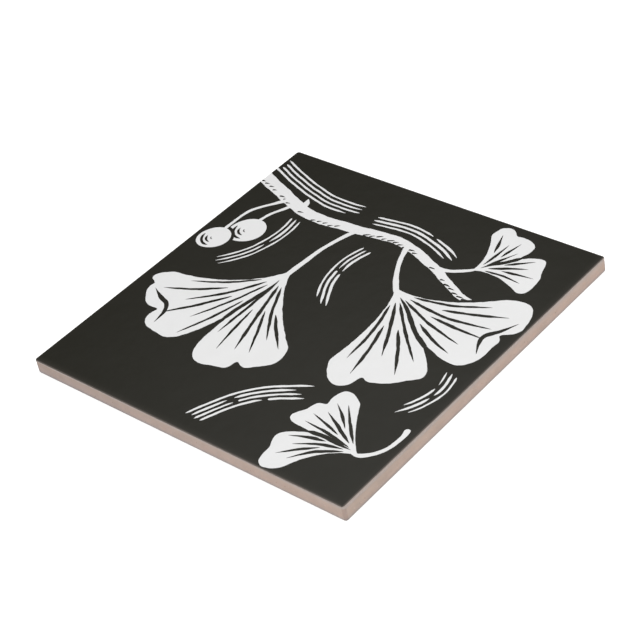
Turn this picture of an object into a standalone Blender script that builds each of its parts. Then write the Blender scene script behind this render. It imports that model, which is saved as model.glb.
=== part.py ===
"""Square ceramic tile, 6 inches a side: one pressed and fired slab with rounded corners, softened arrises
and the shallow square pockets of a keyed back.

Units are metres. The origin is the centre of the back, on the plane that the tile lies on. +Z points out
of the printed face, and +X is right and +Y is up when the face is looked at straight on.
"""

import math

import bmesh
import bpy
from mathutils import Matrix

# Driving dimensions of the slab
SIDE = 0.1524
THICKNESS = 0.0065
CORNER_RADIUS = 0.0013
FACE_ARRIS = 0.0004
BACK_ARRIS = 0.0010

# The keyed back: a square grid of pockets, with an even count so that a rib crosses the centre
POCKETS_A_SIDE = 8
POCKET_PITCH = 0.0172
POCKET_MOUTH = 0.0142
POCKET_FLOOR = 0.0134
POCKET_DEPTH = 0.0005

CORNER_SEGMENTS = 6
FACE_SEGMENTS = 3
BACK_SEGMENTS = 5
CUTTER_OVERRUN = 0.001
NEAR = 0.00001

CLAY = {"color": (0.47, 0.35, 0.29, 1.0), "roughness": 0.85}
PRINTED_GLAZE = {"color": (0.013, 0.013, 0.011, 1.0), "roughness": 0.2}


def clear_scene():
    for obj in list(bpy.data.objects):
        bpy.data.objects.remove(obj, do_unlink=True)


def collection_named(name):
    collection = bpy.data.collections.new(name)
    bpy.context.scene.collection.children.link(collection)
    return collection


def plain_material(name, look):
    material = bpy.data.materials.new(name)
    material.use_nodes = True
    shader = material.node_tree.nodes["Principled BSDF"]
    shader.inputs["Base Color"].default_value = look["color"]
    shader.inputs["Roughness"].default_value = look["roughness"]
    shader.inputs["Metallic"].default_value = 0.0
    material.diffuse_color = look["color"]
    return material


def object_from(bm, name, collection):
    mesh = bpy.data.meshes.new(name)
    bm.to_mesh(mesh)
    bm.free()
    obj = bpy.data.objects.new(name, mesh)
    collection.objects.link(obj)
    return obj


def heights(edge):
    return sorted(vertex.co.z for vertex in edge.verts)


def is_upright(edge):
    low, high = heights(edge)
    return high - low > THICKNESS / 2


def is_round_face(edge):
    return heights(edge)[0] > THICKNESS - NEAR


def is_round_back(edge):
    return heights(edge)[1] < NEAR


def round_edges(bm, is_wanted, radius, segments):
    edges = [edge for edge in bm.edges if is_wanted(edge)]
    bmesh.ops.bevel(bm, geom=edges, offset=radius, segments=segments, profile=0.5, affect="EDGES")


def make_slab(collection):
    """The square blank, standing on its back, with its edges rounded and its face in the glaze's material."""
    bm = bmesh.new()
    bmesh.ops.create_cube(bm, size=1.0)
    bmesh.ops.scale(bm, vec=(SIDE, SIDE, THICKNESS), verts=bm.verts)
    bmesh.ops.translate(bm, vec=(0, 0, THICKNESS / 2), verts=bm.verts)
    round_edges(bm, is_upright, CORNER_RADIUS, CORNER_SEGMENTS)
    round_edges(bm, is_round_face, FACE_ARRIS, FACE_SEGMENTS)
    round_edges(bm, is_round_back, BACK_ARRIS, BACK_SEGMENTS)
    bm.normal_update()
    for face in bm.faces:
        face.material_index = 1 if face.normal.z > 0.5 else 0
    slab = object_from(bm, "ceramic_tile", collection)
    slab.data.materials.append(plain_material("fired_clay", CLAY))
    slab.data.materials.append(plain_material("printed_glaze", PRINTED_GLAZE))
    return slab


def repeat(obj, name, axis, count, pitch):
    array = obj.modifiers.new(name, "ARRAY")
    array.use_relative_offset = False
    array.use_constant_offset = True
    array.constant_offset_displace = [pitch if i == axis else 0.0 for i in range(3)]
    array.count = count


def make_pocket_cutter(collection):
    """A four-sided plug, wider at the pocket's mouth, repeated over the back as the press's die has it."""
    draft = (POCKET_MOUTH - POCKET_FLOOR) / POCKET_DEPTH
    lowest_width = POCKET_MOUTH + draft * CUTTER_OVERRUN
    height = POCKET_DEPTH + CUTTER_OVERRUN
    half_diagonal = math.sqrt(0.5)

    bm = bmesh.new()
    bmesh.ops.create_cone(
        bm,
        cap_ends=True,
        segments=4,
        radius1=lowest_width * half_diagonal,
        radius2=POCKET_FLOOR * half_diagonal,
        depth=height,
    )
    align_to_axes = Matrix.Rotation(math.radians(45), 4, "Z")
    bmesh.ops.transform(bm, matrix=align_to_axes, verts=bm.verts)
    cutter = object_from(bm, "pocket_cutter", collection)
    first = -POCKET_PITCH * (POCKETS_A_SIDE - 1) / 2
    cutter.location = (first, first, POCKET_DEPTH - height / 2)
    cutter.hide_render = True
    cutter.display_type = "WIRE"
    repeat(cutter, "along_x", 0, POCKETS_A_SIDE, POCKET_PITCH)
    repeat(cutter, "along_y", 1, POCKETS_A_SIDE, POCKET_PITCH)
    return cutter


def press_back(slab, cutter):
    pockets = slab.modifiers.new("keyed_back", "BOOLEAN")
    pockets.operation = "DIFFERENCE"
    pockets.object = cutter


def main():
    clear_scene()
    parts = collection_named("ceramic_tile")
    cutters = collection_named("cutters")
    press_back(make_slab(parts), make_pocket_cutter(cutters))


main()
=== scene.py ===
"""Looks of a square printed tile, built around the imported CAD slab, which both pieces stand for.

The clay body carries the sides, the softened arrises and the keyed back. The glazed face is a thin closed
shell over its top: a block print of ginkgo leaves, cut into the mesh as areas of two glazes and draped over
the arris to a wavering edge. The picture is worked out in millimetres, and the meshes are in metres.
"""

import random
from math import atan2, ceil, cos, dist, exp, hypot, pi, radians, sin, sqrt

import bmesh
import bpy
import numpy as np
from mathutils import Matrix, Vector, geometry, noise


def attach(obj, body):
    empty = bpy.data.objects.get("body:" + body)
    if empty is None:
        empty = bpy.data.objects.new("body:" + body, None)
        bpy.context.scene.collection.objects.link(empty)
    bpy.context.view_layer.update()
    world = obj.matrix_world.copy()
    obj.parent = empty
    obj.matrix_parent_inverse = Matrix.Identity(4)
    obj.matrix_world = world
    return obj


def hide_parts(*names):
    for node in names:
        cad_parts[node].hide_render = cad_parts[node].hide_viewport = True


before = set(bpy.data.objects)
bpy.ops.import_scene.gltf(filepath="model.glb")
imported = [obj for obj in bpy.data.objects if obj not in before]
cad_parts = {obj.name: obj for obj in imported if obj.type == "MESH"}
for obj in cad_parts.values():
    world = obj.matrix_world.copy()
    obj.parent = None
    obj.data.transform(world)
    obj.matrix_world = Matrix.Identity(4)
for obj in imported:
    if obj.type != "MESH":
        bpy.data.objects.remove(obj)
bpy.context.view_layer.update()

NODE = "ceramic_tile"
MM = 0.001

# The slab, in millimetres
SIDE = 152.4
THICKNESS = 6.5
CORNER_RADIUS = 1.3
FACE_ARRIS = 0.4
BACK_ARRIS = 1.0
HALF_SIDE = SIDE / 2

# The core square, from which the outline stands off evenly: half its side, how far outside it the face's
# arris starts, and how long that arris is over its curve
CORE = HALF_SIDE - CORNER_RADIUS
ARRIS_START = CORNER_RADIUS - FACE_ARRIS
ARRIS_ARC = FACE_ARRIS * pi / 2

# How thick the glaze is, and how far the clay stands back from the slab's outline
GLAZE = 0.06
SET_BACK = 0.06

# How far past the start of the arris the print reaches, and the glaze at least and at most
PRINT_EDGE = 0.42
LIP_LEAST = 0.72
LIP_MOST = 0.96

# How much sooner the print ends: on the right by the lower and the upper corner, and below by the left
# and the right one
SHORT_ON_RIGHT = (0.75, 0.22)
SHORT_BELOW = (-0.05, 0.28)

# The tones of the face and the clays of the body, which are also their material indices
DARK, WHITE, RIM = 0, 1, 2
SIDE_CLAY, BACK_CLAY = 0, 1

# The keyed back
POCKETS_A_SIDE = 8
POCKET_PITCH = 17.2
POCKET_MOUTH = 14.2
POCKET_DEPTH = 0.5
POCKET_DRAFT = 0.4
POCKET_CORNER = 0.8

# How finely the meshes follow the outline and the profile
SPANS_A_SIDE = 110
SPANS_A_CORNER = 10
ARRIS_SPANS = 6
SIDE_SPANS = 8
POCKET_CORNER_SPANS = 5

# The four sides counter-clockwise, each with the way out of it and that way's angle
SIDES = ((1, 0, 0.0), (0, 1, pi / 2), (-1, 0, pi), (0, -1, 3 * pi / 2))

# Camera, solved from the photo's corners of the tile
AIM = Vector((0.006525, -0.005441, 0.0065))
DISTANCE = 0.69045
AZIMUTH = radians(47.826)
ELEVATION = radians(38.049)
ROLL = radians(11.918)
LENS = 105.109
SENSOR = 36.0


def new_object(name, data):
    """A new object in the scene."""
    thing = bpy.data.objects.new(name, data)
    bpy.context.scene.collection.objects.link(thing)
    return thing


# The picture's drawing tools

# How far apart the points of a cut or an outline lie
FINE = 0.5

# The waver of a cut: shares of its size, each with the length of its waves
WAVER = ((0.6, 13.0), (0.35, 6.1), (0.2, 3.3))

# How bluntly a cut is drawn to a point
BLUNTNESS = 0.65

# The ripples that a knife leaves: height, length and layer of the noise
KNIFE_RIPPLES = ((0.20, 3.1, 5.2), (0.12, 1.4, 8.6))

# The gouge strokes: how wide and how far apart, how many are broken in two, and half the gap
STROKE_WIDTH = 0.95
STROKE_PITCH = 2.2
BROKEN_SHARE = 0.5
HALF_GAP = 0.8


def spline(p, q, r, s, t):
    """The value a share t of the way from q to r, on the smooth curve through four values."""
    slope = r - p
    bend = 2 * p - 5 * q + 4 * r - s
    twist = 3 * q - p - 3 * r + s
    return 0.5 * (2 * q + slope * t + bend * t * t + twist * t ** 3)


def smooth(points, step):
    """Points about a step apart on a smooth curve through the given ones; extra values ride along."""
    rows = [points[0], *points, points[-1]]
    found = []
    for a, b, c, d in zip(rows, rows[1:], rows[2:], rows[3:]):
        count = max(1, ceil(dist(b[:2], c[:2]) / step))
        for k in range(count):
            found.append(tuple(spline(*values, k / count) for values in zip(a, b, c, d)))
    found.append(tuple(points[-1]))
    return found


def across_unit(line, i):
    """Unit vector to the left of a line at one of its points."""
    p, q = line[max(i - 1, 0)], line[min(i + 1, len(line) - 1)]
    dx, dy = q[0] - p[0], q[1] - p[1]
    n = hypot(dx, dy) or 1.0
    return -dy / n, dx / n


def waver_of(rng, size):
    """The waver of a hand-held gouge, as a function of the way along the cut in millimetres."""
    waves = [(size * share, 2 * pi / length, rng.uniform(0, 2 * pi)) for share, length in WAVER]
    return lambda along: sum(height * sin(rate * along + phase) for height, rate, phase in waves)


def narrowing(along, length, width):
    """How far open a cut is this far from its end: round over a short length, or else drawn to a point."""
    if along >= length:
        return 1.0
    share = along / length
    return sqrt(1 - (1 - share) ** 2) if length <= width else share ** BLUNTNESS


def brush(points, rng, waver=0.10, start=None, end=None):
    """Outline of a cut along (x, y, width) points, with the lengths over which its two ends narrow."""
    line = smooth(points, FINE)
    along = [0.0]
    for p, q in zip(line, line[1:]):
        along.append(along[-1] + dist(p[:2], q[:2]))
    start = points[0][2] / 2 if start is None else start
    end = points[-1][2] / 2 if end is None else end
    sides = [], []
    for side, sign in zip(sides, (1, -1)):
        wave = waver_of(rng, waver)
        for i, (x, y, width) in enumerate(line):
            nx, ny = across_unit(line, i)
            half = sign * max(0.0, width / 2 + wave(along[i]))
            if start:
                half *= narrowing(along[i], start, width)
            if end:
                half *= narrowing(along[-1] - along[i], end, width)
            side.append((x + nx * half, y + ny * half))
    return sides[0] + sides[1][::-1]


def resampled(outline, step):
    """Points a step apart on a closed outline."""
    found = []
    due = 0.0
    for p, q in zip(outline, outline[1:] + outline[:1]):
        length = dist(p, q)
        while due < length:
            t = due / length
            found.append((p[0] + (q[0] - p[0]) * t, p[1] + (q[1] - p[1]) * t))
            due += step
        due -= length
    return found


def evened(outline, reach=2, rounds=2):
    """A closed outline without its kinks, by a moving average over a few points each way."""
    count = len(outline)
    for _ in range(rounds):
        outline = [
            tuple(sum(outline[(i + k) % count][axis] for k in range(-reach, reach + 1)) / (2 * reach + 1)
                  for axis in (0, 1))
            for i in range(count)
        ]
    return outline


def shifted(line, by):
    """A line moved to its left by a distance."""
    found = []
    for i, (x, y) in enumerate(line):
        nx, ny = across_unit(line, i)
        found.append((x + nx * by, y + ny * by))
    return found


def grown(outline, by):
    """A counter-clockwise closed outline, moved outwards."""
    return shifted(outline + outline[:1], -by)[:-1]


def ripple(x, y, length, layer):
    """Noise over the flat tile, between about -1 and 1, in ripples this many millimetres long."""
    return noise.noise(Vector((x / length, y / length, layer)))


def sway(x, y, ripples):
    """Ripples over the flat tile, each given as (height, length, layer)."""
    return sum(height * ripple(x, y, length, layer) for height, length, layer in ripples)


def hand_cut(outline):
    """A closed outline, as uneven as a hand-held knife leaves it."""
    count = len(outline)
    found = []
    for i, (x, y) in enumerate(outline):
        (x0, y0), (x1, y1) = outline[i - 1], outline[(i + 1) % count]
        length = dist((x0, y0), (x1, y1))
        out = sway(x, y, KNIFE_RIPPLES)
        found.append((x + (y1 - y0) / length * out, y - (x1 - x0) / length * out))
    return found


def gouges(guide, count, rng):
    """Strokes side by side, the first along a guide line and the others to its left."""
    line = [p[:2] for p in smooth(guide, FINE)]
    gap = HALF_GAP / (FINE * len(line))
    knots = 7
    marks = []
    for k in range(count):
        low, high = rng.uniform(0.0, 0.14), 1 - rng.uniform(0.0, 0.18)
        spans = [(low, high)]
        if rng.random() < BROKEN_SHARE:
            middle = low + (high - low) * rng.uniform(0.35, 0.65)
            spans = [(low, middle - gap), (middle + gap, high)]
        for near, far in spans:
            width = STROKE_WIDTH * rng.uniform(0.8, 1.2)
            shares = [near + (far - near) * knot / (knots - 1) for knot in range(knots)]
            followed = [line[round(share * (len(line) - 1))] for share in shares]
            track = [(x, y, width) for x, y in shifted(followed, STROKE_PITCH * k)]
            marks.append((WHITE, brush(track, rng, 0.09, rng.uniform(0.8, 2.5), rng.uniform(2.0, 5.0))))
    return marks


# The picture's motifs

# How wide the dark line round a motif is
CONTOUR = 1.5

# A leaf's blade: how far open it is at its base, how fast it opens, how square its clefts are, and its
# rounded shoulders
BASE_OPENING = 0.30
OPENING_RATE = 0.55
CLEFT_POWER = 1.6
SHOULDER_START = 0.70
SHOULDER_WIDTH = 0.30
SHOULDER_DROP = 0.20
SHOULDER_POWER = 2.2

# The two kinds of veins: how far out they start, and between which shares of the way to the rim they end
VEIN_STARTS = (0.16, 0.40)
VEIN_ENDS = ((0.72, 0.84), (0.84, 0.93))


class Fan:
    """Places on a fan-shaped leaf, by a share across it from -1 to 1 and a share out from its base."""

    def __init__(self, base, heading, radius, spread, bend, waves, clefts):
        """Waves are given as (height, rate, phase) and clefts as (place across, width, depth)."""
        self.base = base
        self.heading = radians(heading)
        self.radius = radius
        self.half_spread = radians(spread / 2)
        self.bend = radians(bend)
        self.waves = waves
        self.clefts = clefts

    def at(self, across, out):
        """A place on the leaf, which opens quickly from its narrow base."""
        out = max(out, 0.0)
        opening = BASE_OPENING + (1 - BASE_OPENING) * out ** OPENING_RATE
        angle = self.heading + self.bend * out + across * self.half_spread * opening
        reach = self.radius * out
        return self.base[0] + reach * cos(angle), self.base[1] + reach * sin(angle)

    def crest(self, across):
        """How far out the leaf's outer edge lies, with its waves, clefts and rounded shoulders."""
        wave = sum(height * cos(rate * across + phase) for height, rate, phase in self.waves)
        cleft = 0
        for place, width, depth in self.clefts:
            cleft += depth * exp(-abs((across - place) / width) ** CLEFT_POWER)
        past_shoulder = max(0.0, abs(across) - SHOULDER_START) / SHOULDER_WIDTH
        return 1.0 + wave - cleft - SHOULDER_DROP * past_shoulder ** SHOULDER_POWER

    def outline(self):
        side_steps, half_rim = 60, 120
        sides = {across: [self.at(across, k / side_steps * self.crest(across)) for k in range(side_steps)]
                 for across in (-1, 1)}
        shares = [k / half_rim - 1 for k in range(2 * half_rim + 1)]
        rim = [self.at(share, self.crest(share)) for share in shares]
        return hand_cut(evened(resampled(sides[-1] + rim + sides[1][:0:-1], FINE)))

    def cut(self, track, widths, rng, **ends):
        """A dark cut along (across, out) pairs, with its widths there."""
        line = [(*self.at(*place), width) for place, width in zip(track, widths)]
        return DARK, brush(line, rng, 0.13, **ends)


# The leaves, each with its blade, the line and widths of its stalk, how far across its veins lie, and from
# where to where across it a fold runs
LEAVES = [
    {
        "fan": Fan(base=(-24, 13), heading=-95, radius=58, spread=108, bend=-7,
                   waves=((0.022, 9, 2.4), (0.012, 21, 0.2)),
                   clefts=((0.06, 0.075, 0.44), (-0.46, 0.035, 0.07), (0.58, 0.04, 0.09),
                           (-0.80, 0.03, 0.05))),
        "stalk": ((-17, 46, 3.2), (-19, 42, 2.2), (-22.5, 30, 1.8), (-24, 13, 2.4), (-24.5, 2, 1.5)),
        "veins": (-0.90, -0.74, -0.57, -0.40, -0.24, -0.09, 0.20, 0.34, 0.49, 0.64, 0.79, 0.92),
        "fold": (-0.30, -0.74),
        "random_seed": 8,
    },
    {
        "fan": Fan(base=(18, 24), heading=-37, radius=55, spread=112, bend=6,
                   waves=((0.024, 8, 0.4), (0.012, 19, 1.7)),
                   clefts=((-0.05, 0.07, 0.40), (0.50, 0.035, 0.08), (-0.62, 0.035, 0.07))),
        "stalk": ((6, 47, 3.0), (7.5, 42, 2.1), (11, 34, 1.8), (18, 24, 2.3), (25, 17, 1.5)),
        "veins": (-0.88, -0.72, -0.54, -0.38, -0.22, 0.10, 0.24, 0.40, 0.56, 0.72, 0.88),
        "fold": (0.24, 0.66),
        "random_seed": 3,
    },
    {
        "fan": Fan(base=(37, 46), heading=50, radius=27, spread=124, bend=0,
                   waves=((0.03, 7, 0.9), (0.016, 15, 2.1)),
                   clefts=((0.0, 0.09, 0.36), (0.55, 0.05, 0.08))),
        "stalk": ((24, 40.5, 2.8), (28, 41, 1.9), (32, 42.5, 1.6), (37, 46, 1.9), (40, 50, 1.2)),
        "veins": (-0.80, -0.58, -0.36, -0.16, 0.18, 0.36, 0.56, 0.78),
        "fold": None,
        "random_seed": 5,
    },
    {
        "fan": Fan(base=(64, -54), heading=166, radius=33, spread=104, bend=12,
                   waves=((0.028, 8, 0.3), (0.016, 17, 1.1)),
                   clefts=((0.10, 0.08, 0.38), (-0.52, 0.05, 0.09))),
        "stalk": ((71, -35, 2.4), (71.5, -40, 1.8), (70, -48, 1.6), (64, -54, 1.9), (57, -53, 1.2)),
        "veins": (-0.82, -0.64, -0.46, -0.28, -0.10, 0.28, 0.46, 0.64, 0.82),
        "fold": None,
        "random_seed": 6,
    },
]

# The bough's line and its widths
BOUGH = (
    (-88, 60, 6.6), (-64, 51, 6.1), (-42, 44, 5.5), (-20, 45, 4.9), (2, 47, 4.4),
    (22, 41, 3.8), (44, 31, 3.1), (60, 31, 2.5), (69, 37, 1.7),
)

# The bark: how far apart its cuts lie, what share of them is left out, and for the points of a cut the
# share of its length, the rise off the bough's lower edge and the width
BARK_PITCH = 3.1
BARE_SHARE = 0.25
BARK_CUT = ((0, 0, 0.85), (0.6, 0.9, 0.75), (1.0, 1.3, 0.5))

# The groups of gouge strokes, each with its guide line and its count
GOUGE_GROUPS = (
    (((-78, 63.5), (-60, 56.5), (-40, 51.5), (-24, 52)), 4),
    (((-16, 51), (2, 53), (18, 49), (26, 45)), 3),
    (((-47, 40), (-46, 28), (-50, 14), (-58, 4)), 3),
    (((-8, 39), (-11, 27), (-9, 13), (-2, 0)), 3),
    (((64, -4), (66, -13), (64, -22), (59, -30)), 3),
    (((2, -72), (10, -56), (19, -47), (31, -40)), 4),
)

# The buds, each with its place, its heading and its size, and the ways along one and its widths there
BUDS = (((-47, 46), 112, 2.6), ((47, 31), -58, 2.1))
BUD_SHAPE = ((0, 0.75), (0.8, 0.85), (1.6, 1.15), (2.5, 0.7))

# The seeds, each with the line and widths of its stalk
SEEDS = (
    {
        "centre": (-58, 24),
        "radius": 7.6,
        "stalk": ((-52, 48, 2.6), (-53.5, 43, 1.6), (-57, 36, 1.4), (-58, 30, 1.5)),
        "random_seed": 31,
    },
    {
        "centre": (-67, 14),
        "radius": 6.8,
        "stalk": ((-56, 48, 2.6), (-60, 43, 1.6), (-66, 34, 1.4), (-67, 20, 1.4)),
        "random_seed": 32,
    },
)

# The shading cuts on a seed: the share of its radius where each lies, half its length as a turn in radians
# and its width; and which way from the seed's centre they lie
SEED_CUTS = ((0.74, 0.95, 1.15), (0.46, 0.85, 1.05), (0.18, 0.9, 0.95))
SHADED_SIDE = -2.3

# The random seeds of the marks that carry none of their own
RANDOM_SEEDS = {"gouges": 21, "bough": 11, "buds": 5}


def cleft_mark(fan, rng):
    """The dark cut up the middle of a leaf, into its deepest cleft."""
    cleft = fan.clefts[0][0]
    foot = fan.crest(cleft)
    track = (
        (cleft * 0.5, 0.12),
        (cleft + 0.06, foot * 0.45),
        (cleft - 0.02, foot * 0.8),
        (cleft, foot + 0.10),
    )
    return fan.cut(track, (1.2, 1.7, 1.9, 2.0), rng, start=6, end=3)


def vein_marks(fan, veins, rng):
    """Cuts that fan out from a leaf's base, of two kinds by turns."""
    marks = []
    for k, middle in enumerate(veins):
        across = middle + rng.uniform(-0.015, 0.015)
        near = VEIN_STARTS[k % 2] + rng.uniform(0.0, 0.06)
        reaches = [rng.uniform(*ends) for ends in VEIN_ENDS]
        far = fan.crest(across) * reaches[k % 2]
        width = rng.uniform(1.15, 1.5)
        halfway = (across + rng.uniform(-0.02, 0.02), (near + far) / 2)
        track = ((across * 0.95, near), halfway, (across, far))
        marks.append(fan.cut(track, (width * 0.9, width, width * 0.8), rng, start=4, end=8))
    return marks


def fold_mark(fan, low, high, rng):
    """A curved cut just inside a leaf's rim, where it turns over."""
    track = []
    for share in (0, 0.25, 0.5, 0.75, 1.0):
        across = low + (high - low) * share
        track.append((across, fan.crest(across) * (0.95 - 0.07 * sin(pi * share))))
    return fan.cut(track, (1.0, 1.6, 2.0, 1.7, 1.0), rng, start=7, end=7)


def leaf_marks(leaf):
    """A leaf over what lies behind it: its contour, stalk and blade, then its cleft, veins and fold."""
    rng = random.Random(leaf["random_seed"])
    fan = leaf["fan"]
    blade = fan.outline()
    marks = [(DARK, grown(blade, CONTOUR)), (WHITE, brush(leaf["stalk"], rng, end=8)), (WHITE, blade)]
    marks.append(cleft_mark(fan, rng))
    marks += vein_marks(fan, leaf["veins"], rng)
    if leaf["fold"]:
        marks.append(fold_mark(fan, *leaf["fold"], rng))
    return marks


def bough_marks():
    """The bough with its dark contour, and short cuts for bark along its shaded side."""
    rng = random.Random(RANDOM_SEEDS["bough"])
    wide = [(x, y, width + 2 * CONTOUR) for x, y, width in BOUGH]
    marks = [(DARK, brush(wide, rng, 0.05)), (WHITE, brush(BOUGH, rng, 0.16, end=4))]
    line = smooth(BOUGH, BARK_PITCH)
    for i in range(2, len(line) - 4):
        if rng.random() < BARE_SHARE:
            continue
        x, y, width = line[i]
        nx, ny = across_unit(line, i)
        side = -width * rng.uniform(0.30, 0.5)
        length = rng.uniform(1.8, 3.4)
        track = []
        for way, rise, cut in BARK_CUT:
            out = side + rise
            track.append((x + nx * out + ny * length * way, y + ny * out - nx * length * way, cut))
        marks.append((DARK, brush(track, rng, 0.05, start=0.4, end=1.6)))
    return marks


def bud_marks(place, heading, size):
    """A pointed bud that stands on the bough."""
    rng = random.Random(RANDOM_SEEDS["buds"])
    ux, uy = cos(radians(heading)), sin(radians(heading))
    track = [(place[0] + ux * size * way, place[1] + uy * size * way, size * width)
             for way, width in BUD_SHAPE]
    return [(WHITE, brush(track, rng, 0.05, start=0.5, end=size * 1.4))]


def seed_marks(centre, radius, stalk, random_seed):
    """A round seed on its stalk, with three shading cuts on its lower left."""
    rng = random.Random(random_seed)
    ball = []
    count = 96
    for k in range(count):
        turn = 2 * pi * k / count
        out = radius * (1 + 0.05 * cos(2 * (turn - SHADED_SIDE)) + 0.015 * cos(3 * turn + 1))
        ball.append((centre[0] + out * cos(turn), centre[1] + out * sin(turn)))
    marks = [(DARK, grown(ball, CONTOUR)), (WHITE, brush(stalk, rng, end=0.5)), (WHITE, ball)]
    for share, reach, width in SEED_CUTS:
        out = radius * share
        arc = []
        half = 3
        for k in range(2 * half + 1):
            turn = SHADED_SIDE + reach * (k / half - 1)
            arc.append((centre[0] + out * cos(turn), centre[1] + out * sin(turn), width))
        marks.append((DARK, brush(arc, rng, 0.06, start=2.0, end=2.0)))
    return marks


def picture():
    """All the marks of the block print, each a tone and an outline, and each over those before it."""
    rng = random.Random(RANDOM_SEEDS["gouges"])
    marks = []
    for guide, count in GOUGE_GROUPS:
        marks += gouges(guide, count, rng)
    marks += bough_marks()
    for bud in BUDS:
        marks += bud_marks(*bud)
    for leaf in LEAVES:
        marks += leaf_marks(leaf)
    for seed in SEEDS:
        marks += seed_marks(**seed)
    return marks


# The maps of the two meshes, on which their colours can be baked

BAKE_MAP = "OFBake"

# How many millimetres of the flat tile a sheet or a strip of a map holds
FLAT_SPAN = SIDE + 1.4

# The sheets of the two maps, each given as its left, its bottom and its size
FACE_SHEET = (0.003, 0.003, 0.935)
UNDER_SHEET = (0.942, 0.942, 0.055)
BACK_SHEET = (0.003, 0.229, 0.765)
TOP_SHEET = (0.775, 0.229, 0.22)

# The strips of the body's sides: how high each is, and how far above its foot the height 0 lies
STRIP_HEIGHT = 0.0565
STRIP_FOOT = 1.4


def on_sheet(sheet, x, y):
    """A place of the flat tile on one of the sheets."""
    left, bottom, size = sheet
    return left + size * (0.5 + x / FLAT_SPAN), bottom + size * (0.5 + y / FLAT_SPAN)


def on_strip(side, x, y, z):
    """A place of one of the body's four sides, unrolled along a strip of the map."""
    along = (y, -x, -y, x)[side]
    inset = CORNER_RADIUS - from_core(x, y)[2]
    up = z - inset if z < THICKNESS / 2 else z + inset
    return 0.5 + along / FLAT_SPAN, STRIP_HEIGHT * side + (up + STRIP_FOOT) / FLAT_SPAN


def body_place(face, x, y, z):
    """Where a corner of one of the body's faces lies on its map."""
    if face.material_index == BACK_CLAY:
        return on_sheet(BACK_SHEET if face.center.z < THICKNESS / 2 * MM else TOP_SHEET, x, y)
    _, (nx, ny), _ = from_core(face.center.x / MM, face.center.y / MM)
    return on_strip(round(atan2(ny, nx) / (pi / 2)) % 4, x, y, z)


def add_bake_map(mesh, place_of):
    """Gives a mesh its map, where place_of puts the corner of a face at one of its vertices."""
    layer = mesh.uv_layers.new(name=BAKE_MAP)
    for face in mesh.polygons:
        for loop in face.loop_indices:
            layer.data[loop].uv = place_of(face, mesh.vertices[mesh.loops[loop].vertex_index])


# The glazed face

# The ripples of the glaze's lip and of the print's edge, and how strongly the lip follows its own
LIP_RIPPLES = ((1.0, 9, 3.1), (0.5, 3, 7.7))
LIP_SWAY = 0.9
PRINT_RIPPLES = ((0.05, 5, 1.3), (0.03, 1, 2.9))


def from_core(x, y):
    """Nearest point of the core square, the way out from it, and how far out the place lies."""
    cx, cy = max(-CORE, min(CORE, x)), max(-CORE, min(CORE, y))
    out = hypot(x - cx, y - cy)
    away = ((x - cx) / out, (y - cy) / out) if out else (0.0, 0.0)
    return (cx, cy), away, out


def draped(x, y, inset=0.0):
    """A point of the flat picture laid over the face, its arris and its side, and the surface's normal."""
    (cx, cy), (nx, ny), out = from_core(x, y)
    past = out - ARRIS_START
    if past <= 0:
        return (x, y, THICKNESS - inset), (0.0, 0.0, 1.0)
    turn = min(past / FACE_ARRIS, pi / 2)
    radius = FACE_ARRIS - inset
    reach = ARRIS_START + radius * sin(turn)
    height = THICKNESS - FACE_ARRIS + radius * cos(turn) - max(0.0, past - ARRIS_ARC)
    normal = (nx * sin(turn), ny * sin(turn), cos(turn))
    return (cx + nx * reach, cy + ny * reach, height), normal


def stations():
    """Places all round the tile, counter-clockwise: a point of the core square and the way out from it."""
    found = []
    for ux, uy, turn in SIDES:
        for k in range(SPANS_A_SIDE):
            run = CORE * (2 * k / SPANS_A_SIDE - 1)
            found.append(((ux * CORE - uy * run, uy * CORE + ux * run), (ux, uy)))
        for k in range(SPANS_A_CORNER):
            angle = turn + pi / 2 * k / SPANS_A_CORNER
            found.append((((ux - uy) * CORE, (uy + ux) * CORE), (cos(angle), sin(angle))))
    return found


def loop_at(past):
    """A loop round the flat picture, this far past the start of the arris; past may vary with the place."""
    loop = []
    for (cx, cy), (nx, ny) in stations():
        out = ARRIS_START + (past(cx + nx, cy + ny) if callable(past) else past)
        loop.append((cx + nx * out, cy + ny * out))
    return loop


def glaze_lip(x, y):
    """How far past the start of the arris the glaze runs, on the tile's side."""
    share = 0.5 + LIP_SWAY * sway(x, y, LIP_RIPPLES)
    return LIP_LEAST + (LIP_MOST - LIP_LEAST) * min(1.0, max(0.0, share))


def print_edge(x, y):
    """How far past the start of the arris the print reaches, above the bare lip of the glaze."""
    _, (nx, ny), _ = from_core(x, y)
    short = max(0.0, nx) * np.interp(y, (-HALF_SIDE, HALF_SIDE), SHORT_ON_RIGHT)
    short += max(0.0, -ny) * np.interp(x, (-HALF_SIDE, HALF_SIDE), SHORT_BELOW)
    return PRINT_EDGE - short + sway(x, y, PRINT_RIPPLES)


def windings(points, outline):
    """How many times a closed outline turns round each of the points."""
    x, y = points[:, 0], points[:, 1]
    total = np.zeros(len(points), int)
    for (x0, y0), (x1, y1) in zip(outline, outline[1:] + outline[:1]):
        if y0 == y1:
            continue
        side = (x1 - x0) * (y - y0) - (x - x0) * (y1 - y0)
        total += (y0 <= y) & (y < y1) & (side > 0)
        total -= (y1 <= y) & (y < y0) & (side < 0)
    return total


def inside(points, outline):
    """Which of the points lie within a closed outline."""
    corners = np.array(outline)
    near = np.all((points >= corners.min(0)) & (points <= corners.max(0)), axis=1)
    found = np.zeros(len(points), bool)
    found[near] = windings(points[near], outline) != 0
    return found


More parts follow.
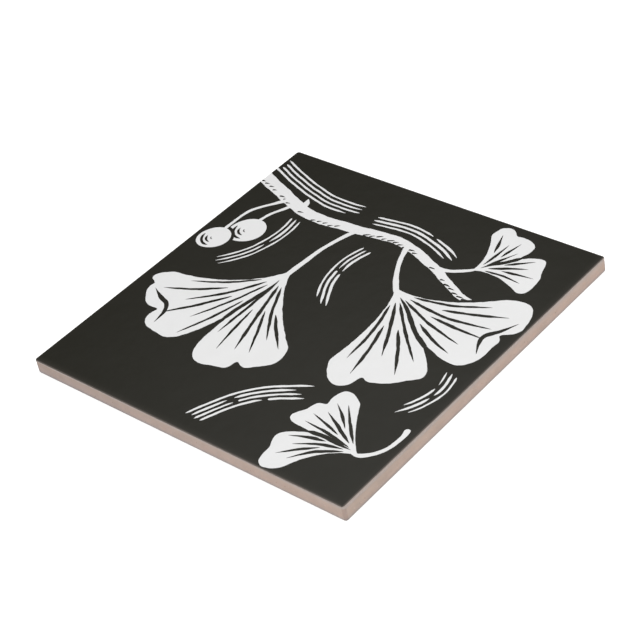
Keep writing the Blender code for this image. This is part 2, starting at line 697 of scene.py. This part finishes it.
def cut_flat(outlines):
    """The points and triangles of a flat sheet that is cut along every one of the closed outlines."""
    corners, edges = [], []
    for outline in outlines:
        first, count = len(corners), len(outline)
        corners += [Vector(point) for point in outline]
        edges += [(first + k, first + (k + 1) % count) for k in range(count)]
    places, _, triangles = geometry.delaunay_2d_cdt(corners, edges, [], 0, 0.002, False)[:3]
    return np.array([tuple(place) for place in places]), np.array(triangles)


def tones_of(centres, marks, printed):
    """The tone of each triangle: that of the last mark over it, within the edge of the print."""
    tones = np.full(len(centres), DARK)
    for tone, outline in marks:
        tones[inside(centres, outline)] = tone
    tones[~inside(centres, printed)] = RIM
    return tones


def rim_loop(triangles):
    """The points round the edge of a sheet of triangles, in order, with the sheet to their left."""
    directed = {(a, b) for corners in triangles for a, b in zip(corners, np.roll(corners, -1))}
    following = {a: b for a, b in directed if (b, a) not in directed}
    start = min(following)
    loop = [start]
    while following[loop[-1]] != start:
        loop.append(following[loop[-1]])
    return loop


def flat_sheet():
    """The picture laid flat and cut along its marks: its points, its triangles and their tones."""
    marks = picture()
    lip, printed = loop_at(glaze_lip), loop_at(print_edge)
    rings = [loop_at(ARRIS_ARC * share) for share in (0.0, 0.25, 0.5, 0.75, 1.0)]
    places, triangles = cut_flat([outline for _, outline in marks] + [lip, printed, *rings])
    centres = places[triangles].mean(axis=1)
    kept = inside(centres, lip)
    triangles, centres = triangles[kept], centres[kept]
    used = np.unique(triangles)
    renumbered = np.full(len(places), -1)
    renumbered[used] = np.arange(len(used))
    return places[used], renumbered[triangles], tones_of(centres, marks, printed)


def close_under(places, edge, vertices, faces):
    """Closes the shell under the sheet with rings that lie GLAZE deeper, straight behind its edge and then
    back up the arris, and with a base; gives the flat place of every vertex."""
    flat_places = [tuple(place) for place in places]
    ring = edge
    for past in (None, ARRIS_ARC, ARRIS_ARC / 2, 0.0):
        inner = list(range(len(vertices), len(vertices) + len(edge)))
        for k in edge:
            (cx, cy), (nx, ny), out = from_core(*places[k])
            out = out if past is None else ARRIS_START + past
            vertices.append(draped(cx + nx * out, cy + ny * out, GLAZE)[0])
            reach = out + GLAZE if past is None else out
            flat_places.append((cx + nx * reach, cy + ny * reach))
        for k in range(len(edge)):
            following = (k + 1) % len(edge)
            faces.append((ring[following], ring[k], inner[k], inner[following]))
        ring = inner
    faces.append(tuple(reversed(ring)))
    return flat_places


def make_face():
    """The printed glaze, a closed shell that is GLAZE thick, cut along the edges of its print."""
    places, triangles, tones = flat_sheet()
    spots = [draped(x, y) for x, y in places]
    vertices = [place for place, _ in spots]
    faces = [tuple(int(k) for k in corners) for corners in triangles]
    normals = [spots[k][1] for corners in faces for k in corners]
    edge = rim_loop(triangles)
    flat_places = close_under(places, edge, vertices, faces)

    mesh = bpy.data.meshes.new("printed_face")
    mesh.from_pydata([tuple(MM * value for value in place) for place in vertices], [], faces)
    hidden = len(faces) - len(tones)
    mesh.polygons.foreach_set("material_index", [*(int(tone) for tone in tones), *([RIM] * hidden)])
    mesh.shade_smooth()
    normals += [(0.0, 0.0, 0.0)] * (len(mesh.loops) - len(normals))
    mesh.normals_split_custom_set(normals)
    seen = len(tones) + len(edge)
    add_bake_map(mesh, lambda face, vertex: on_sheet(
        FACE_SHEET if face.index < seen else UNDER_SHEET, *flat_places[vertex.index]))
    return new_object("printed_face", mesh)


# The clay body

# The unevenness of the pressed side: its height, and its length along the side and up it
UNEVENNESS = ((0.018, 14, 6), (0.010, 2.5, 1.5))

# The rings of a pocket: how far outside its mouth and how high, and how far outside its floor and how far
# short of it
POCKET_LIP = ((0.10, 0.0), (0.02, 0.02), (-0.04, 0.09))
POCKET_FLOOR = ((0.10, 0.08), (0.0, 0.01), (-0.15, 0.0))


def recess(x, y, z):
    """How far the pressed side lies in from the slab's outline, in millimetres."""
    inward = SET_BACK
    for height, along, up in UNEVENNESS:
        inward += height * ripple(x, y, along, z / up)
    return inward


def body_profile():
    """Pairs of inset and height up the side: the back's arris, the side itself and the face's arris."""
    quarter = [pi / 2 * k / ARRIS_SPANS for k in range(ARRIS_SPANS + 1)]
    lower, upper = (
        [(radius * (1 - sin(turn)), radius * (1 - cos(turn))) for turn in quarter]
        for radius in (BACK_ARRIS, FACE_ARRIS)
    )
    straight = THICKNESS - BACK_ARRIS - FACE_ARRIS
    side = [(0.0, BACK_ARRIS + straight * k / SIDE_SPANS) for k in range(1, SIDE_SPANS)]
    return lower + side + [(inset, THICKNESS - depth) for inset, depth in reversed(upper)]


def body_ring(inset, height):
    """The points round the body at one height of its profile."""
    drop = SET_BACK if height > THICKNESS - FACE_ARRIS else 0.0
    ring = []
    for (cx, cy), (nx, ny) in stations():
        x, y = cx + nx * CORNER_RADIUS, cy + ny * CORNER_RADIUS
        out = CORNER_RADIUS - inset - recess(x, y, height)
        ring.append((cx + nx * out, cy + ny * out, height - drop))
    return ring


def pocket_profile():
    """Pairs of half width and height, from a pocket's rounded mouth to its rounded floor."""
    mouth = POCKET_MOUTH / 2
    floor = mouth - POCKET_DRAFT
    at_mouth = [(mouth + out, height) for out, height in POCKET_LIP]
    at_floor = [(floor + out, POCKET_DEPTH - short) for out, short in POCKET_FLOOR]
    return at_mouth + at_floor


def pocket_ring(centre, half, height):
    """A small rounded square round a pocket's centre, counter-clockwise."""
    core = half - POCKET_CORNER
    ring = []
    for ux, uy, turn in SIDES:
        for k in range(POCKET_CORNER_SPANS + 1):
            angle = turn + pi / 2 * k / POCKET_CORNER_SPANS
            ring.append((
                centre[0] + (ux - uy) * core + POCKET_CORNER * cos(angle),
                centre[1] + (uy + ux) * core + POCKET_CORNER * sin(angle),
                height,
            ))
    return ring


def add_loft(bm, rings, material):
    """Bands of faces between closed rings with the same count of points; gives the first and last ring."""
    rows = [[bm.verts.new(place) for place in ring] for ring in rings]
    for low, high in zip(rows, rows[1:]):
        for k in range(len(low)):
            following = (k + 1) % len(low)
            face = bm.faces.new((low[k], low[following], high[following], high[k]))
            face.material_index = material
    return rows[0], rows[-1]


def add_pockets(bm):
    """The pockets of the back; gives the flat outlines of their mouths."""
    first = -POCKET_PITCH * (POCKETS_A_SIDE - 1) / 2
    mouths = []
    for row in range(POCKETS_A_SIDE):
        for column in range(POCKETS_A_SIDE):
            centre = (first + POCKET_PITCH * column, first + POCKET_PITCH * row)
            rings = [pocket_ring(centre, half, height) for half, height in pocket_profile()]
            _, floor_ring = add_loft(bm, rings, BACK_CLAY)
            bm.faces.new(floor_ring).material_index = BACK_CLAY
            mouths.append([place[:2] for place in rings[0]])
    return mouths


def add_rib(bm, edge, mouths):
    """The flat of the back, between its edge and the mouths of the pockets."""
    places, triangles = cut_flat([edge, *mouths])
    centres = places[triangles].mean(axis=1)
    kept = inside(centres, edge)
    for mouth in mouths:
        kept &= ~inside(centres, mouth)
    rib = [bm.verts.new((x, y, 0.0)) for x, y in places]
    for corners in triangles[kept]:
        bm.faces.new([rib[k] for k in reversed(corners)]).material_index = BACK_CLAY


def make_body():
    """The pressed clay slab: lofted sides, a plain top under the glaze, and a back with its pockets."""
    bm = bmesh.new()
    side_rings = [body_ring(inset, height) for inset, height in body_profile()]
    _, top = add_loft(bm, side_rings, SIDE_CLAY)
    bm.faces.new(top).material_index = BACK_CLAY
    mouths = add_pockets(bm)
    add_rib(bm, [place[:2] for place in side_rings[0]], mouths)
    bmesh.ops.remove_doubles(bm, verts=bm.verts, dist=0.003)
    bmesh.ops.scale(bm, vec=(MM, MM, MM), verts=bm.verts)
    for face in bm.faces:
        face.smooth = True

    mesh = bpy.data.meshes.new("clay_body")
    bm.to_mesh(mesh)
    bm.free()
    add_bake_map(mesh, lambda face, vertex: body_place(face, *(vertex.co / MM)))
    body = new_object("clay_body", mesh)
    shading = body.modifiers.new("flats_stay_flat", "WEIGHTED_NORMAL")
    shading.weight = 100
    return body


# Materials

# The two clays, each with the tones of its broad mottling
SIDE_TONES = ((0.435, 0.327, 0.278), (0.385, 0.290, 0.243))
BACK_TONES = ((0.455, 0.355, 0.305), (0.39, 0.30, 0.255))

# Between which values of a noise its blotches come in
QUICKLY = (0.35, 0.65)
SOFTLY = (0.3, 0.7)

# The pink and the grey grain of both clays: size in millimetres, detail, between which values of the noise
# it comes in, strength and colour
CLAY_GRAIN = (
    (1.1, 4.0, (0.40, 0.70), 0.45, (0.50, 0.33, 0.255)),
    (0.35, 3.0, QUICKLY, 0.30, (0.37, 0.305, 0.275)),
)

# The dark specks and the pale grog: how far apart they lie, their size as a share of that, and their colour
CLAY_SPECKS = ((2.3, 0.12, (0.22, 0.16, 0.13)), (1.3, 0.15, (0.55, 0.47, 0.42)))

# The bumps of the clay and of a glaze: size, detail and depth
CLAY_BUMPS = ((1.6, 3.0, 0.05), (0.3, 3.0, 0.03))
GLAZE_BUMPS = ((6.0, 2.0, 0.03), (1.2, 2.0, 0.004))

CLAY_ROUGHNESS = (0.78, 0.92)

# The bands of the side: how far below the face its painted light starts and is full, and its strength;
# how far above the back its painted shade is full and ends, and its strength at the edge; and where past
# the core square the painted shade of the corners starts and is full
PAINTED_TOP_BAND = (3.3, 0.9)
PAINTED_TOP_BAND_SHARE = 0.75
FOOT_SHADE_BAND = (0.3, 2.5)
FOOT_SHADE_EDGE_SHARE = 0.2
CORNER_SHADE_BAND = (-0.3, 0.5)

# The side's painted light near the face, to the left and the right; its painted shade by the back and at
# corners
PAINTED_TOP_LIGHT = ((0.41, 0.302, 0.235), (0.41, 0.338, 0.305))
PAINTED_FOOT_SHADE = (0.285, 0.25, 0.24)
PAINTED_CORNER_SHADE = (0.80, 0.78, 0.79)

# The side's painted shade, drifting from the lower left corner through the lower right one to the upper
# right
PAINTED_SIDE_SHADE = (
    (0.0, (0.8, 0.825, 0.87)),
    (0.1, (0.815, 0.835, 0.875)),
    (0.2, (0.895, 0.915, 0.945)),
    (0.485, (1.0, 1.0, 1.0)),
    (0.52, (0.925, 0.94, 0.925)),
    (0.62, (0.965, 0.965, 0.95)),
    (0.8, (1.0, 0.99, 0.975)),
    (1.0, (1.0, 0.985, 0.965)),
)

# The glazes of the face, in the order of its tones: the colour, that of the clouds and that where it is
# thin, from where to where past the middle of the arris it thins, in millimetres, the least and greatest
# roughness, and the share at most that has run off along the right and the lower edge
GLAZES = (
    {
        "name": "black_glaze",
        "base": (0.0122, 0.0114, 0.0074),
        "cloud": (0.0134, 0.0126, 0.0086),
        "thin": (0.13, 0.11, 0.098),
        "thinning": (-0.8, 0.2),
        "roughness": (0.10, 0.15),
        "drained": 0.16,
    },
    {
        "name": "white_glaze",
        "base": (0.68, 0.68, 0.68),
        "cloud": (0.665, 0.664, 0.662),
        "thin": (0.54, 0.49, 0.455),
        "thinning": (-0.3, 0.3),
        "roughness": (0.10, 0.16),
    },
    {
        "name": "bare_lip",
        "base": (0.29, 0.248, 0.226),
        "cloud": (0.27, 0.228, 0.205),
        "thin": (0.33, 0.275, 0.25),
        "thinning": (-0.2, 0.5),
        "roughness": (0.30, 0.45),
    },
)

# The clouds of a glaze: size, detail, between which values of the noise they come in, and strength
CLOUDS = ((9.0, 4.0, QUICKLY, 0.8), (0.6, 3.0, (0.4, 0.7), 0.5))

# How far in from the right and the lower edge a drained glaze has run thin
DRAINED_BAND = 3.8

# The floor's two tones, and how strongly it glows
FLOOR_TONES = ((0.48, 0.48, 0.48), (0.47, 0.47, 0.47))
FLOOR_GLOW = 0.73


def new_material(name):
    material = bpy.data.materials.new(name)
    material.use_nodes = True
    return material, material.node_tree, material.node_tree.nodes["Principled BSDF"]


def feed(tree, socket, value):
    """Gives a socket its value, or the other socket that it comes from."""
    if isinstance(value, bpy.types.NodeSocket):
        tree.links.new(value, socket)
    else:
        socket.default_value = value


def put(tree, kind, settings=None, **inputs):
    """Adds a node with its settings and what feeds its inputs."""
    node = tree.nodes.new(kind)
    for name, value in (settings or {}).items():
        setattr(node, name, value)
    for name, value in inputs.items():
        feed(tree, node.inputs[name], value)
    return node


def on_object(tree):
    return put(tree, "ShaderNodeTexCoord").outputs["Object"]


def grain(tree, size, detail=3.0):
    """Noise between 0 and 1 whose blotches are about this many millimetres across."""
    node = put(tree, "ShaderNodeTexNoise", Vector=on_object(tree), Scale=1 / (size * MM), Detail=detail,
               Roughness=0.55)
    return node.outputs["Fac"]


def between(tree, value, low, high, floor=0.0, ceiling=1.0, shape="SMOOTHSTEP"):
    """A value scaled from one range to another, smoothly unless told otherwise, and held within it."""
    node = put(tree, "ShaderNodeMapRange", {"interpolation_type": shape}, Value=value)
    for name, number in zip(("From Min", "From Max", "To Min", "To Max"), (low, high, floor, ceiling)):
        node.inputs[name].default_value = number
    return node.outputs["Result"]


def blend(tree, share, first, second, mode="MIX"):
    """Mixes two colours, each a triple or a socket, by a share of the second."""
    node = put(tree, "ShaderNodeMix", {"data_type": "RGBA", "blend_type": mode})
    for socket, value in zip((node.inputs[0], node.inputs[6], node.inputs[7]), (share, first, second)):
        feed(tree, socket, (*value, 1.0) if isinstance(value, tuple) else value)
    return node.outputs[2]


def specks(tree, pitch, share):
    """Scattered round specks, 1 at their centres and 0 away from them."""
    cells = put(tree, "ShaderNodeTexVoronoi", Vector=on_object(tree), Scale=1 / (pitch * MM))
    return between(tree, cells.outputs["Distance"], share, share * 0.4)


def reckon(tree, operation, *values):
    """A sum or the like of numbers or sockets."""
    node = put(tree, "ShaderNodeMath", {"operation": operation})
    for socket, value in zip(node.inputs, values):
        feed(tree, socket, value)
    return node.outputs[0]


def place_on(tree):
    """The three coordinates of a place on the tile, in metres."""
    return put(tree, "ShaderNodeSeparateXYZ", Vector=on_object(tree)).outputs


def past_edge(tree):
    """How far past the middle of the arris a place is, in metres, and more where the print is short."""
    x, y, z = place_on(tree)
    half = HALF_SIDE * MM
    down = reckon(tree, "MULTIPLY", y, -1.0)
    out = reckon(tree, "MAXIMUM", reckon(tree, "MULTIPLY", x, -1.0), y)
    for across, along, (low, high) in ((x, y, SHORT_ON_RIGHT), (down, x, SHORT_BELOW)):
        short = between(tree, along, -half, half, low * MM, high * MM, "LINEAR")
        out = reckon(tree, "MAXIMUM", out, reckon(tree, "ADD", across, short))
    return reckon(tree, "SUBTRACT", reckon(tree, "SUBTRACT", out, z), (HALF_SIDE - THICKNESS) * MM)


def ramp(tree, value, stops):
    """A colour that runs through (place, colour) stops, of which the first is at 0 and the last at 1."""
    node = put(tree, "ShaderNodeValToRGB", Fac=value)
    points = node.color_ramp.elements
    for place, _ in stops[1:-1]:
        points.new(place)
    for point, (_, colour) in zip(points, stops):
        point.color = (*colour, 1.0)
    return node.outputs["Color"]


def roughen(tree, shader, layers):
    """Bump from layers of blotches, each given as (size, detail, depth)."""
    normal = None
    for size, detail, depth in layers:
        bump = put(tree, "ShaderNodeBump", Height=grain(tree, size, detail), Distance=depth * MM)
        if normal:
            tree.links.new(normal, bump.inputs["Normal"])
        normal = bump.outputs["Normal"]
    tree.links.new(normal, shader.inputs["Normal"])


def side_shading(tree, colour):
    """The side's clay: greyer with painted light near the face and with painted shade by the back, duller
    with painted shade at the corners, and with a drift of painted shade.
    """
    x, y, height = place_on(tree)
    half = HALF_SIDE * MM
    rightward = between(tree, reckon(tree, "ADD", x, y), -2 * half, 2 * half, shape="LINEAR")
    # Painted light near the face, warmer to the left and greyer to the right
    start, full = ((THICKNESS - under) * MM for under in PAINTED_TOP_BAND)
    painted_top_light = between(tree, height, start, full, 0.0, PAINTED_TOP_BAND_SHARE)
    colour = blend(tree, painted_top_light, colour, blend(tree, rightward, *PAINTED_TOP_LIGHT))
    # Painted shade along the foot of the side, by the back
    full, end = (over * MM for over in FOOT_SHADE_BAND)
    painted_foot_shade = between(tree, height, end, full)
    above_back = between(tree, height, 0.0, full, FOOT_SHADE_EDGE_SHARE, 1.0)
    colour = blend(tree, reckon(tree, "MULTIPLY", painted_foot_shade, above_back), colour, PAINTED_FOOT_SHADE)
    # Painted shade drifting along the sides
    colour = blend(tree, 1.0, colour, ramp(tree, rightward, PAINTED_SIDE_SHADE), "MULTIPLY")
    # Painted shade at the rounded corners
    nearer = reckon(tree, "MINIMUM", reckon(tree, "ABSOLUTE", x), reckon(tree, "ABSOLUTE", y))
    painted_corner_shade = between(tree, nearer, *((CORE + past) * MM for past in CORNER_SHADE_BAND))
    return blend(tree, painted_corner_shade, colour, PAINTED_CORNER_SHADE, "MULTIPLY")


def fired_clay(name, tones, shaded):
    """Pinkish fired clay: broad mottling, close grain, dark specks and pale grog."""
    material, tree, shader = new_material(name)
    colour = blend(tree, between(tree, grain(tree, 7.0), *QUICKLY), *tones)
    for size, detail, span, strength, tone in CLAY_GRAIN:
        share = between(tree, grain(tree, size, detail), *span, 0.0, strength)
        colour = blend(tree, share, colour, tone)
    for pitch, size, tone in CLAY_SPECKS:
        colour = blend(tree, specks(tree, pitch, size), colour, tone)
    if shaded:
        colour = side_shading(tree, colour)
    tree.links.new(colour, shader.inputs["Base Color"])
    rough = between(tree, grain(tree, 3.0), *SOFTLY, *CLAY_ROUGHNESS)
    tree.links.new(rough, shader.inputs["Roughness"])
    roughen(tree, shader, CLAY_BUMPS)
    return material


def drained_share(tree, most):
    """How much of a glaze has run off along the right and the lower edge, at most this share."""
    x, y, _ = place_on(tree)
    low_or_right = reckon(tree, "MAXIMUM", x, reckon(tree, "MULTIPLY", y, -1.0))
    band = between(tree, low_or_right, (HALF_SIDE - DRAINED_BAND) * MM, HALF_SIDE * MM, shape="LINEAR")
    return reckon(tree, "MULTIPLY", reckon(tree, "MULTIPLY", band, band), most)


def glaze(name, base, cloud, thin, thinning, roughness, drained=0.0):
    """A glossy glaze, faintly cloudy and slightly wavy, which thins towards the tile's edge."""
    material, tree, shader = new_material(name)
    colour = base
    for size, detail, span, strength in CLOUDS:
        share = between(tree, grain(tree, size, detail), *span, 0.0, strength)
        colour = blend(tree, share, colour, cloud)
    start, end = thinning
    colour = blend(tree, between(tree, past_edge(tree), start * MM, end * MM), colour, thin)
    if drained:
        colour = blend(tree, drained_share(tree, drained), colour, thin)
    tree.links.new(colour, shader.inputs["Base Color"])
    rough = between(tree, grain(tree, 5.0, 4.0), *SOFTLY, *roughness)
    tree.links.new(rough, shader.inputs["Roughness"])
    roughen(tree, shader, GLAZE_BUMPS)
    return material


def floor_material():
    """Plain pale table, faintly lit from below as for a cut-out shot."""
    material, tree, shader = new_material("pale_floor")
    shade = between(tree, grain(tree, 300.0), *SOFTLY)
    tree.links.new(blend(tree, shade, *FLOOR_TONES), shader.inputs["Base Color"])
    shader.inputs["Roughness"].default_value = 0.9
    shader.inputs["Specular IOR Level"].default_value = 0.1
    shader.inputs["Emission Color"].default_value = (1.0, 1.0, 1.0, 1.0)
    shader.inputs["Emission Strength"].default_value = FLOOR_GLOW
    return material


# The studio

FLOOR_REACH = 2.5

# The room's light: where it is brightest and how strong it is there, how dim it is round that glow, and
# what it gains further off; both edges are cosines of the angle from the brightest place
GLOW_AZIMUTH = radians(225)
GLOW_ELEVATION = radians(51)
GLOW = 0.67
DIM = 0.06
FAR_GAIN = 0.30
GLOW_EDGE = 0.93
FAR_EDGE = 0.70


def make_floor():
    mesh = bpy.data.meshes.new("floor")
    corners = ((-1, -1), (1, -1), (1, 1), (-1, 1))
    mesh.from_pydata([(FLOOR_REACH * x, FLOOR_REACH * y, 0.0) for x, y in corners], [], [range(4)])
    mesh.materials.append(floor_material())
    floor = new_object("floor", mesh)


def direction(azimuth, elevation):
    """Unit vector towards a place in the room; azimuth 0 is in front of the tile's lower edge."""
    return Vector((
        sin(azimuth) * cos(elevation),
        -cos(azimuth) * cos(elevation),
        sin(elevation),
    ))


def make_camera():
    camera = new_object("camera", bpy.data.cameras.new("camera"))
    camera.data.lens = LENS
    camera.data.sensor_width = SENSOR
    camera.data.clip_start = 0.01
    away = direction(AZIMUTH, ELEVATION)
    level = Vector((0, 0, 1)).cross(away).normalized()
    upright = away.cross(level)
    up = upright * cos(ROLL) + level * sin(ROLL)
    right = level * cos(ROLL) - upright * sin(ROLL)
    turn = Matrix((right, up, away)).transposed().to_4x4()
    camera.matrix_world = Matrix.Translation(AIM + away * DISTANCE) @ turn
    bpy.context.scene.camera = camera


def add_softbox(name, azimuth, elevation, distance, size, power, for_gloss=False):
    """A rectangle of light that faces the tile and either lights it or shows in its gloss."""
    data = bpy.data.lights.new(name, "AREA")
    data.shape = "RECTANGLE"
    data.size, data.size_y = size
    data.energy = power
    lamp = new_object(name, data)
    towards = direction(radians(azimuth), radians(elevation))
    lamp.location = towards * distance
    lamp.rotation_euler = towards.to_track_quat("Z", "Y").to_euler()
    lamp.visible_glossy = for_gloss
    lamp.visible_diffuse = not for_gloss


def light_room():
    """A dim room that brightens towards the part of it that the face mirrors, two softboxes and a strip."""
    world = bpy.data.worlds.new("studio")
    world.use_nodes = True
    bpy.context.scene.world = world
    tree = world.node_tree
    place = put(tree, "ShaderNodeTexCoord").outputs["Generated"]
    nearness = put(tree, "ShaderNodeVectorMath", {"operation": "DOT_PRODUCT"}, Vector=place)
    nearness.inputs[1].default_value = direction(GLOW_AZIMUTH, GLOW_ELEVATION)
    nearness = nearness.outputs["Value"]
    share = between(tree, nearness, GLOW_EDGE, 1.0, shape="LINEAR")
    glow = between(tree, reckon(tree, "MULTIPLY", share, share), 0.0, 1.0, DIM, GLOW, "LINEAR")
    far = between(tree, nearness, GLOW_EDGE, FAR_EDGE, 0.0, FAR_GAIN)
    tree.links.new(reckon(tree, "ADD", glow, far), tree.nodes["Background"].inputs["Strength"])
    tree.nodes["Background"].inputs["Color"].default_value = (1.0, 1.0, 1.0, 1.0)
    add_softbox("key", azimuth=104, elevation=77, distance=1.1, size=(0.8, 0.8), power=10.3)
    add_softbox("fill", azimuth=30, elevation=38, distance=2.2, size=(1.5, 1.5), power=21.5)
    add_softbox("strip", azimuth=50, elevation=30, distance=2.4, size=(0.35, 2.0), power=1.8,
                for_gloss=True)
    bpy.context.scene.view_settings.view_transform = "Standard"


def finish_piece(piece, materials):
    for material in materials:
        piece.data.materials.append(material)
    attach(piece, "root")
    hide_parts(NODE)


finish_piece(make_body(), [
    fired_clay("clay_side", SIDE_TONES, shaded=True),
    fired_clay("clay_back", BACK_TONES, shaded=False),
])
finish_piece(make_face(), [glaze(**look) for look in GLAZES])
make_floor()
light_room()
make_camera()
